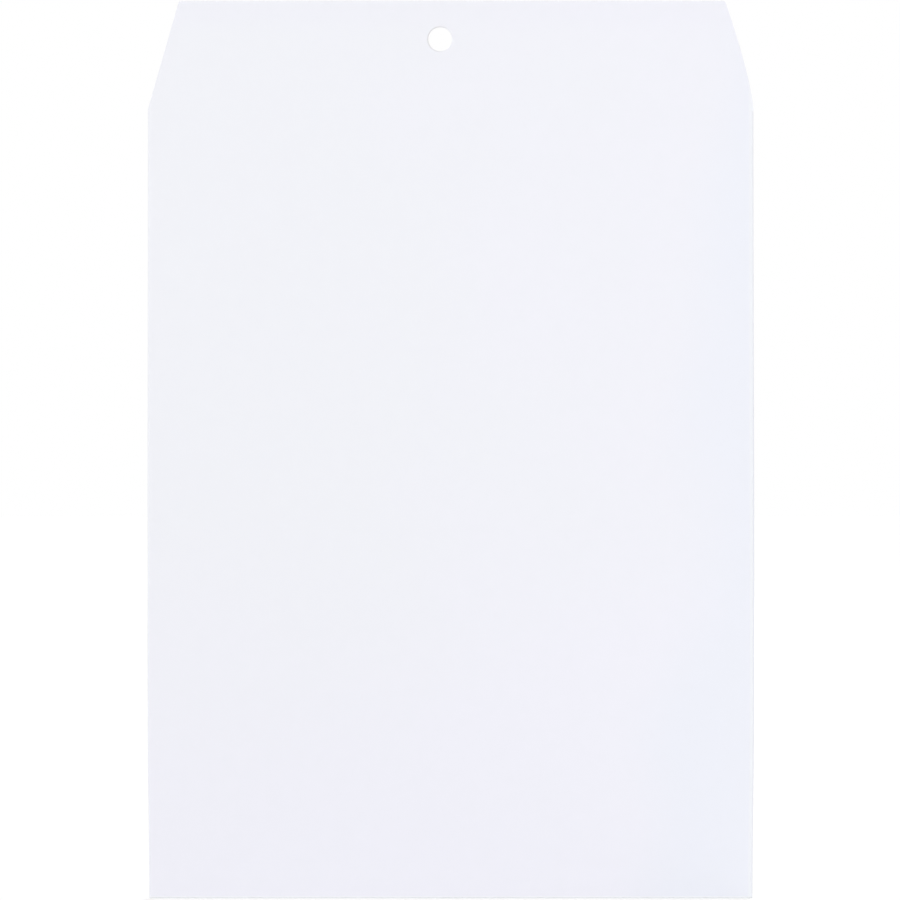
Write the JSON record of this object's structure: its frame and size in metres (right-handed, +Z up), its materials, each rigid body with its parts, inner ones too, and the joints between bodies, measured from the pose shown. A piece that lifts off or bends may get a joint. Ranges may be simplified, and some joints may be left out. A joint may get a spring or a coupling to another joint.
{
  "type": "clasp envelope",
  "caption": "Flat paper envelope with a tapered fold-over flap, a punched hole in the flap and a two-prong metal clasp on the back.",
  "frame": {"origin": "middle of the bottom fold, halfway between the inner faces of the empty pocket's front and back", "axes": "+Z up towards the open flap, +X to the right as seen from the address side, +Y out of the back, so the address side faces -Y"},
  "size_m": [0.254, 0.0139, 0.3762],
  "materials": {
    "paper": "white wove, uncoated",
    "patch_paper": "white, smooth",
    "glue": "dried paste",
    "seal_gum": "dried remoistenable gum, slight gloss",
    "clasp_metal": "tinned sheet steel, satin"
  },
  "bodies": {
    "pocket": {"front_panel": "paper", "left_side_flap": "paper", "right_side_flap": "paper", "bottom_fold": "paper", "bottom_flap": "paper", "centre_seam_glue": "glue", "left_bottom_glue": "glue", "right_bottom_glue": "glue", "clasp_base": "clasp_metal"},
    "flap": {"seal_flap": "paper", "hole_patch": "patch_paper", "left_seal_gum": "seal_gum", "right_seal_gum": "seal_gum"},
    "left_prong_body": {"left_prong": "clasp_metal"},
    "right_prong_body": {"right_prong": "clasp_metal"}
  },
  "joints": [
    {"name": "flap_fold", "type": "hinge", "parent": "pocket", "child": "flap", "pos_m": [0, 0.00021, 0.3302], "axis": [-1, 0, 0], "range_deg": [0, 178.7]},
    {"name": "left_prong_bend", "type": "hinge", "parent": "pocket", "child": "left_prong_body", "pos_m": [-0.0051, 0.00194, 0.3003], "axis": [0, 0, 1], "range_deg": [0, 90]},
    {"name": "right_prong_bend", "type": "hinge", "parent": "pocket", "child": "right_prong_body", "pos_m": [-0.0037, 0.00194, 0.3003], "axis": [0, 0, -1], "range_deg": [0, 90]}
  ]
}
